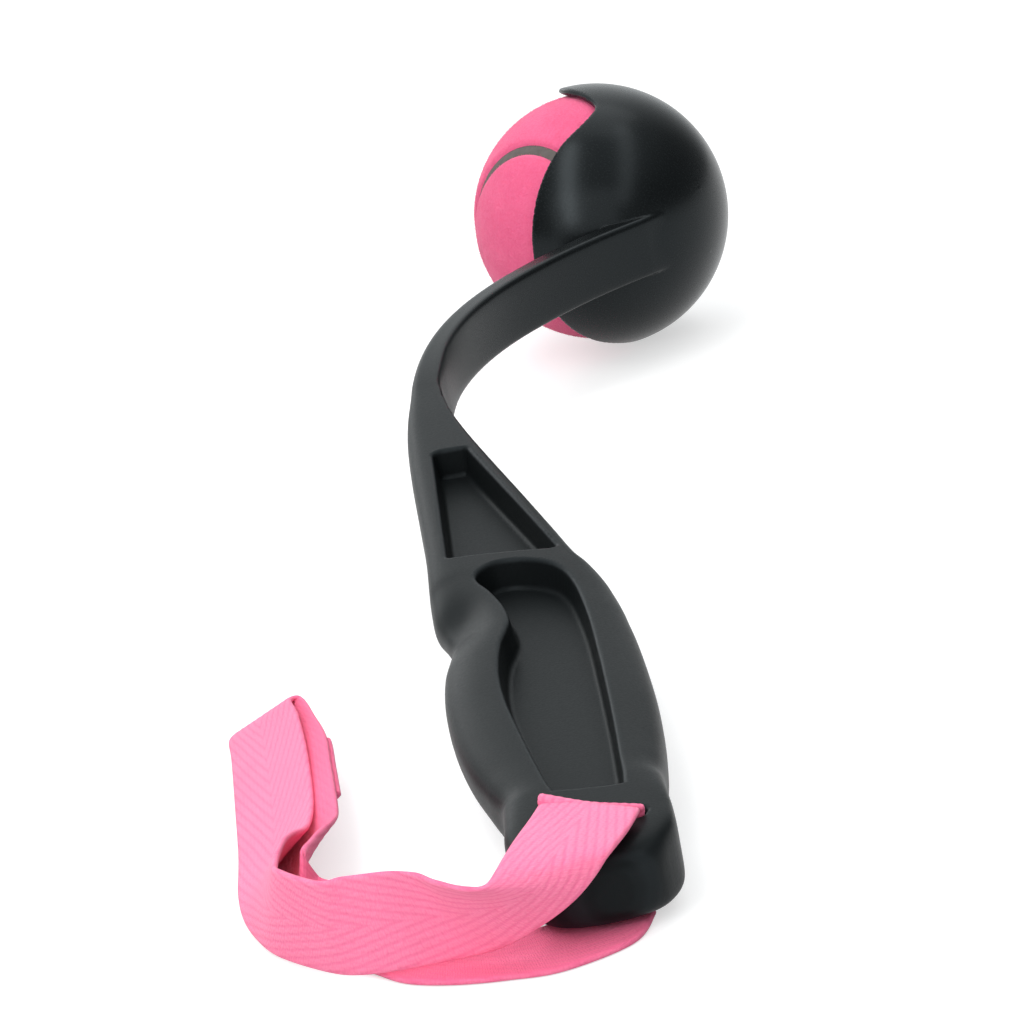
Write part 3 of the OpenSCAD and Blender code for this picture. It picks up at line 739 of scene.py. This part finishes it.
# Stations of the webbing, each with its two edges, from the slot round the loop and back to the slot
route = np.array([
    [(-9.4, 3.6, OVER + 1.4), (9.4, -4.4, OVER + 0.5)],
    [(-9.6, 1.8, OVER + 2.3), (8.9, -8.4, OVER + 0.7)],
    [(-14, -7.5, OVER + 1.4), (6.3, -15.5, OVER + 0.2)],
    [(-17, -22, OVER + 0.7), (2.6, -22.2, OVER - 0.8)],
    [(-20.3, -28.2, OVER - 0.3), (-1.8, -23, OVER - 5.4)],
    [(-24, -28.5, OVER - 0.2), (-8.1, -23, OVER - 10)],
    [(-29.2, -25, OVER + 0.6), (-17, -22.4, OVER - 14.4)],
    [(-33.2, -20.8, OVER + 1.1), (-25, -20.8, OVER - 16.6)],
    [(-39.6, -20.6, OVER + 2.2), (-37.2, -20.2, OVER - 17.2)],
    [(-46.2, -17, OVER + 1), (-46, -16.4, LOW + 0.6)],
    [(-50.6, -14.8, OVER + 0.2), (-52.4, -11, LOW)],
    [(-58, -5.2, OVER - 0.4), (-61.5, -0.5, LOW)], [(-59.4, 2.5, OVER - 1.5), (-66, 9, LOW)],
    [(-58.2, 17.8, OVER - 3.3), (-69, 19.5, LOW)], [(-54.2, 33, OVER - 6.7), (-70.6, 32, LOW)],
    [(-53.7, 50, OVER - 7.9), (-71.2, 51, LOW)], [(-55.6, 75, OVER - 8.1), (-72.7, 77, LOW)],
    [(-58, 99, OVER - 8.2), (-74.4, 105, LOW)], [(-59, 109, OVER - 8.4), (-75.3, 118, LOW)],
    [(-56, 109.5, OVER - 8.4), (-72.4, 120.5, LOW)],
    [(-53, 97.5, OVER - 8), (-69.4, 109.5, LOW + 0.3)],
    [(-51.6, 83, OVER - 7.6), (-68, 91, LOW + 1.2)],
    [(-50.9, 67, OVER - 7.6), (-67.5, 72, LOW + 1.2)],
    [(-49.8, 47.5, OVER - 7.2), (-66.3, 49.5, LOW + 1.2)],
    [(-49.4, 34, OVER - 6.8), (-65, 32, LOW + 0.6)],
    [(-53.4, 20, OVER - 5.6), (-62.4, 10.5, LOW)],
    [(-55.3, 11, OVER - 6.4), (-57.6, -0.5, LOW)], [(-53, 13.2, OVER - 10.4), (-55, -4.3, LOW)],
    [(-47.5, 9.5, OVER - 11.3), (-51.2, -8.2, LOW)],
    [(-42.6, 3.5, OVER - 13.8), (-44.8, -14.2, LOW)],
    [(-35.5, -3.5, LOW + 2), (-38.2, -21.6, LOW)], [(-29, -7, LOW + 1.2), (-29.5, -25.8, LOW)],
    [(-21.5, -8.5, LOW + 0.3), (-19.5, -27.8, LOW)], [(-14, -8.5, LOW), (-9, -28, LOW)],
    [(-10.8, -5.5, LOW), (4, -21, LOW)], [(-9.6, 0.5, LOW), (8.6, -9.5, LOW)],
    [(-9.3, 3.6, LOW), (9.3, -3.6, LOW)],
])
STEPS = 24
edges = smooth_rows(route, STEPS)
lower = edges[:, 1]
wide = unit(edges[:, 0] - edges[:, 1])
mid_line = lower + wide * STRAP_W / 2
forward = unit(np.gradient(mid_line, axis=0))
face_out = unit(np.cross(forward, wide))


def run_along(line):
    """Way along a line at each of its points."""
    return np.concatenate([[0], np.cumsum(np.linalg.norm(np.diff(line, axis=0), axis=1))])


way = run_along(mid_line)
RIB_PITCH, RIB_DEG, RIB_H = 1.74, 15.0, 0.08
RIB_FLAT, RIB_FADE, TABLE_CLEAR = 0.9, 20, 0.02
ACROSS_N, EDGE_N = 36, 4
rib_turn = math.radians(RIB_DEG)
# Round the section: over the face, round one edge, back under and round the other
x_face = np.linspace(STRAP_T / 2, STRAP_W - STRAP_T / 2, ACROSS_N + 1)
bow = np.arange(1, EDGE_N) * math.pi / EDGE_N
section_x = np.concatenate([x_face, STRAP_W - STRAP_T / 2 * (1 - np.sin(bow)), x_face[::-1],
                            STRAP_T / 2 * (1 - np.sin(bow))])
upper = np.ones(ACROSS_N + 1)
section_h = STRAP_T / 2 * np.concatenate([upper, np.cos(bow), -upper, -np.cos(bow)])


def rib_height(x, y):
    """Height of the herringbone ribs, whose points look back towards the start of the webbing."""
    p = np.abs(x - STRAP_W / 2) * math.cos(rib_turn) - y * math.sin(rib_turn)
    return RIB_H * (0.5 * np.cos(2 * math.pi * p / RIB_PITCH) - 0.5)


def webbing(name, base, wide, out, way, lift=0.0):
    """Strip of webbing with its section, its ribs and a UV map in strap widths, kept over the table."""
    n = len(section_x)
    flat_part = np.clip((np.abs(section_h) - RIB_FLAT * STRAP_T / 2) * RIB_FADE, 0, 1) * np.sign(section_h)
    h = section_h[None] + lift + rib_height(section_x[None], way[:, None]) * flat_part[None]
    p = base[:, None] + wide[:, None] * section_x[None, :, None] + out[:, None] * h[..., None]
    p[..., 2] = np.maximum(p[..., 2], TABLE_CLEAR)
    m = len(p)
    faces = [(i * n + k, (i + 1) * n + k, (i + 1) * n + (k + 1) % n, i * n + (k + 1) % n)
             for i in range(m - 1) for k in range(n)]
    faces += [tuple(range(n)), tuple((m - 1) * n + k for k in range(n - 1, -1, -1))]
    obj = add_mesh(name, (p.reshape(-1, 3) + strap_origin) * MM, faces)
    uv = np.broadcast_arrays(section_x[None] / STRAP_W, way[:, None] / STRAP_W)
    layer = obj.data.uv_layers.new(name="weave")
    corner = np.empty(len(obj.data.loops), int)
    obj.data.loops.foreach_get("vertex_index", corner)
    layer.data.foreach_set("uv", np.stack(uv, -1).reshape(-1, 2)[corner].ravel())
    # Mask of the inner face, which the material paints a deeper pink as painted shade
    add_values(obj, "inner_face_shade", np.tile(np.clip(section_h / STRAP_T + 0.5, 0, 1), m))
    return obj


def strip(a, b, step=0.5):
    """Even stations of the loop between two ways along it."""
    s = np.linspace(a, b, max(2, int(round((b - a) / step)) + 1))

    def pick(values):
        return np.stack([np.interp(s, way, values[:, k]) for k in range(3)], -1)

    return pick(lower), unit(pick(wide)), unit(pick(face_out)), s


def bend_between(p0, t0, w0, p1, t1, w1, pull, n=18):
    """Webbing that turns from one station and heading to another."""
    k = np.linspace(0, 1, n)[:, None]
    a, b = 2 * k ** 3 - 3 * k ** 2 + 1, k ** 3 - 2 * k ** 2 + k
    c, d = -2 * k ** 3 + 3 * k ** 2, k ** 3 - k ** 2
    mid = a * p0 + b * pull * t0 + c * p1 + d * pull * t1
    w = unit(w0 * (1 - k) + w1 * k)
    f = unit(np.gradient(mid, axis=0))
    w = unit(w - f * (w * f).sum(1, keepdims=True))
    return mid - w * STRAP_W / 2, w, np.cross(f, w), run_along(mid)


turn_z = GRIP_DEG - 90 - SKEW_DEG
wide_in_slot = lay_down(-np.append(heading(turn_z), 0))
up_slot = lay_down(np.array([0, 0, 1.0]))
slot_here = np.array([0, 0, slot_mid[2] - TABLE_Z])
first, last = way[STEPS], way[-1 - STEPS]
base, w, out, s = strip(first, last)
loop = webbing("strap_loop_webbing", base, w, out, s)

# The two ends in the slot: name, station where the loop takes over, height where the webbing starts to turn,
# side of the moulding, and how far the turn swings out
SLOT_STEPS = 14
slot_ends = (("strap_at_slot_top", STEPS, HALF_T - 1.6, 1, 3.0),
             ("strap_at_slot_bottom", -1 - STEPS, -HALF_T + 0.9, -1, 6.0))
ends = []
for name, station, turn_h, sign, pull in slot_ends:
    b2, w2, o2, s2 = bend_between(slot_here + up_slot * turn_h, up_slot * sign, wide_in_slot,
                                  mid_line[station], forward[station] * sign, wide[station], pull)
    depth = abs(turn_h)
    s1 = np.linspace(0, depth, SLOT_STEPS)[:-1]
    b1 = slot_here + up_slot * sign * s1[:, None] - wide_in_slot * STRAP_W / 2
    o1 = np.broadcast_to(np.cross(up_slot * sign, wide_in_slot), b1.shape)
    w1 = np.broadcast_to(wide_in_slot, b1.shape)
    run = np.concatenate([s1, depth + s2])
    run = first - run[-1] + run if sign > 0 else last + run[-1] - run
    parts = [np.concatenate(v) for v in ((b1, b2), (w1, w2), (o1 * sign, o2 * sign))]
    if sign < 0:
        parts, run = [v[::-1] for v in parts], run[::-1]
    ends.append(webbing(name, *parts, run))

# The sewn lap: the end of the webbing, laid on the outer side of the return strand
LAP_FROM, LAP_L, LAP_GAP = 21, 36.0, 0.2
lap_way = way[LAP_FROM * STEPS]
base, w, out, s = strip(lap_way, lap_way + LAP_L)
lap = webbing("strap_lap_webbing", base, w, out, s, lift=-STRAP_T - LAP_GAP)

# Pink webbing: herringbone ribs, yarn and uneven dye, with painted shade: a darker pink in the grooves in step
# with the ribs and in the dips between the yarns, and a deeper pink over the inner face
webbing_pink, tree, shader = new_material("pink_webbing")
uv = add_node(tree, "ShaderNodeUVMap", uv_map="weave").outputs["UV"]
xy = add_node(tree, "ShaderNodeSeparateXYZ", {0: uv})
off_mid = maths(tree, "ABSOLUTE", maths(tree, "SUBTRACT", xy.outputs["X"], 0.5))
turns = 2 * math.pi * STRAP_W / RIB_PITCH
side = maths(tree, "MULTIPLY", off_mid, turns * math.cos(rib_turn))
phase = maths(tree, "MULTIPLY_ADD", xy.outputs["Y"], -turns * math.sin(rib_turn), side)
# Painted shade: the herringbone grooves, in step with the ribs, are mixed towards a darker pink
painted_groove_shade = remap(tree, maths(tree, "COSINE", phase), (-1.0, 0.1), (0.46, 0.0))
yarn_at = add_node(tree, "ShaderNodeMapping", {"Vector": uv, "Scale": (20.0, 46.0, 1.0)}).outputs["Vector"]
yarn = add_node(tree, "ShaderNodeTexVoronoi", {"Vector": yarn_at, "Scale": 1.0, "Randomness": 0.55},
                voronoi_dimensions="2D").outputs["Distance"]
dye = noise(tree, object_space(tree), scale=60.0, detail=3.0)
base = mix(tree, dye, colour(254, 129, 167), colour(255, 144, 180))
# Painted shade: the inner face is mixed towards a deeper pink
painted_face_shade = maths(tree, "MULTIPLY", attribute(tree, "inner_face_shade"), 0.7)
base = mix(tree, painted_face_shade, base, colour(248, 104, 146))
with_groove_shade = mix(tree, painted_groove_shade, base, colour(240, 104, 148))
# Painted shade: the dips between the yarns, where the bump sinks, are mixed towards a darker pink
painted_yarn_shade = remap(tree, yarn, (0.3, 0.8), (0.0, 0.42))
tree.links.new(mix(tree, painted_yarn_shade, with_groove_shade, colour(240, 100, 142)), shader.inputs["Base Color"])
bump_on(tree, shader, yarn, strength=0.6, distance=0.00022, invert=True)
shader.inputs["Roughness"].default_value = 0.85
shader.inputs["Specular IOR Level"].default_value = 0.2
shader.inputs["Sheen Weight"].default_value = 0.12
shader.inputs["Sheen Roughness"].default_value = 0.5
for piece in (loop, lap, *ends):
    dress(piece, webbing_pink)
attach(loop, "strap")
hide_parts("strap_loop")
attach(lap, "strap")
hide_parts("strap_lap")
for piece, sign in zip(ends, (1, -1)):
    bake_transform(piece)
    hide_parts("strap_anchor")


# Stitching: four rows of pink thread across the lap, two at each end, sewn through both layers of webbing.
# Each stitch is a short rounded run that lies on the weave.
STITCH_N, THREAD_D, THREAD_SUNK = 6, 0.6, 0.25
STITCH_ROWS = (0.08, 0.2, 0.8, 0.92)
stitch_l, stitch_p = 0.1 * STRAP_W, 0.15 * STRAP_W
edge_gap = (STRAP_W - (STITCH_N - 1) * stitch_p - stitch_l) / 2
lift = -1.5 * STRAP_T - 2 * LAP_GAP - THREAD_D / 2 + THREAD_SUNK
spots, heads, ups = [], [], []
for share in STITCH_ROWS:
    row_way = lap_way + share * LAP_L
    b, w, o, _ = (v[0] for v in strip(row_way, row_way + 0.1))
    for k in range(STITCH_N):
        x = edge_gap + k * stitch_p + stitch_l / 2
        spots.append((b + w * x + o * lift + strap_origin) * MM)
        heads.append(w)
        ups.append(-o)
holes = add_mesh("stitch_holes", spots, [])
for name, values in (("head", heads), ("up", ups)):
    layer = holes.data.attributes.new(name, "FLOAT_VECTOR", "POINT")
    layer.data.foreach_set("vector", np.array(values).ravel())
thread, tree, shader = new_material("pink_thread")
ply = add_node(tree, "ShaderNodeTexWave", {"Vector": object_space(tree), "Scale": 900.0, "Distortion": 1.5},
               bands_direction="DIAGONAL").outputs["Fac"]
tree.links.new(mix(tree, ply, colour(222, 78, 122), colour(246, 112, 152)), shader.inputs["Base Color"])
bump_on(tree, shader, ply, strength=0.6, distance=0.0001)
shader.inputs["Roughness"].default_value = 0.6

sew, given, result = new_tree("sew_rows", Length="Float", Thread="Float")
head = add_node(sew, "GeometryNodeInputNamedAttribute", {"Name": "head"}, data_type="FLOAT_VECTOR")
up = add_node(sew, "GeometryNodeInputNamedAttribute", {"Name": "up"}, data_type="FLOAT_VECTOR")
aim = add_node(sew, "FunctionNodeAlignRotationToVector", {"Vector": head.outputs[0]}, axis="X")
aim = add_node(sew, "FunctionNodeAlignRotationToVector", {
    "Rotation": aim.outputs[0], "Vector": up.outputs[0]}, axis="Z", pivot_axis="X")
pill = add_node(sew, "GeometryNodeMeshUVSphere", {"Segments": 12, "Rings": 8, "Radius": 0.5})
size = add_node(sew, "ShaderNodeCombineXYZ", {
    "X": given.outputs["Length"], "Y": given.outputs["Thread"], "Z": given.outputs["Thread"]})
placed = add_node(sew, "GeometryNodeInstanceOnPoints", {
    "Points": given.outputs["Geometry"], "Instance": pill.outputs["Mesh"], "Rotation": aim.outputs[0],
    "Scale": size.outputs[0]})
real = add_node(sew, "GeometryNodeRealizeInstances", {"Geometry": placed.outputs["Instances"]})
soft = add_node(sew, "GeometryNodeSetShadeSmooth", {"Geometry": real.outputs["Geometry"]})
coloured = add_node(sew, "GeometryNodeSetMaterial", {
    "Geometry": soft.outputs["Geometry"], "Material": thread})
sew.links.new(coloured.outputs["Geometry"], result.inputs["Geometry"])
stitches = grow(holes, sew, "strap_stitches", Length=stitch_l * MM, Thread=THREAD_D * MM)
bpy.data.objects.remove(holes)
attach(stitches, "strap")
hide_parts("strap_stitching")


# Studio: a white table under a large soft light, with a broad fill in front, a light at the back left and a
# dark room behind the camera. Two long lights over the front show as soft upright streaks on the cup.
TABLE_HALF, TABLE_GLOW = 12, 0.56
corners = [(x * TABLE_HALF, y * TABLE_HALF, TABLE_Z * MM) for x, y in ((-1, -1), (1, -1), (1, 1), (-1, 1))]
floor = add_mesh("floor", corners, [(0, 1, 2, 3)], smooth=False)
white, tree, shader = new_material("white_table")
shader.inputs["Base Color"].default_value = (0.6, 0.6, 0.6, 1)
shader.inputs["Roughness"].default_value = 0.9
shader.inputs["Specular IOR Level"].default_value = 0.0
# The glow shows to the camera and in reflections, and gives no diffuse light
rays = add_node(tree, "ShaderNodeLightPath")
seen = maths(tree, "MAXIMUM", rays.outputs["Is Camera Ray"], rays.outputs["Is Glossy Ray"])
seen = maths(tree, "MAXIMUM", seen, rays.outputs["Is Transmission Ray"])
shader.inputs["Emission Color"].default_value = (1, 1, 1, 1)
tree.links.new(maths(tree, "MULTIPLY", seen, TABLE_GLOW), shader.inputs["Emission Strength"])
dress(floor, white)

world = bpy.data.worlds.new("studio")
scene.world = world
world.use_nodes = True
tree = world.node_tree
sky = tree.nodes["Background"]
rays = add_node(tree, "ShaderNodeLightPath")
towards = add_node(tree, "ShaderNodeTexCoord").outputs["Generated"]
towards = add_node(tree, "ShaderNodeSeparateXYZ", {0: towards})
behind = remap(tree, towards.outputs["Y"], (-0.2, 0.5), (0.1, 1.2))
above = remap(tree, towards.outputs["Z"], (0.35, 0.95), (0.0, 0.6))
left = remap(tree, towards.outputs["X"], (0.25, 0.75), (1.0, 0.15))
level = maths(tree, "MAXIMUM", maths(tree, "MULTIPLY", behind, left), above)
level = maths(tree, "MAXIMUM", level, rays.outputs["Is Camera Ray"])
sky.inputs["Color"].default_value = (0.94, 0.985, 1, 1)
tree.links.new(level, sky.inputs["Strength"])


def soft_light(name, place, aim, width, height, power, along=(0, 0, 1)):
    """Area light at a place, facing an aim, with its height turned as near as can be along a direction."""
    lamp = bpy.data.objects.new(name, bpy.data.lights.new(name, "AREA"))
    lamp.data.shape = "RECTANGLE"
    lamp.data.size, lamp.data.size_y, lamp.data.energy = width, height, power
    away = unit(np.subtract(place, aim))
    tall = unit(np.array(along) - away * np.dot(along, away))
    turn = np.eye(4)
    turn[:3] = np.stack([np.cross(tall, away), tall, away, place], 1)
    lamp.matrix_world = Matrix(turn.tolist())
    scene.collection.objects.link(lamp)


soft_light("overhead", (0.1, 0.5, 1.6), aim=(0, -0.15, 0), width=1.6, height=1.2, power=6.5)
soft_light("streak_left", (-0.285, -0.56, 0.64), aim=(0, 0, 0), width=0.2, height=1.3, power=4.2,
           along=(0.2, 0.71, 0.68))
soft_light("streak_right", (0.46, -0.38, 0.67), aim=(0, 0, 0), width=0.18, height=1.3, power=1.4,
           along=(0.04, 0.88, 0.47))
soft_light("front_fill", (-0.3, -1.7, 0.6), aim=(-0.05, -0.3, 0), width=2.0, height=1.2, power=9)
soft_light("back_left", (-0.7, 1.1, 0.45), aim=(0, -0.2, 0), width=0.7, height=0.5, power=1.6)
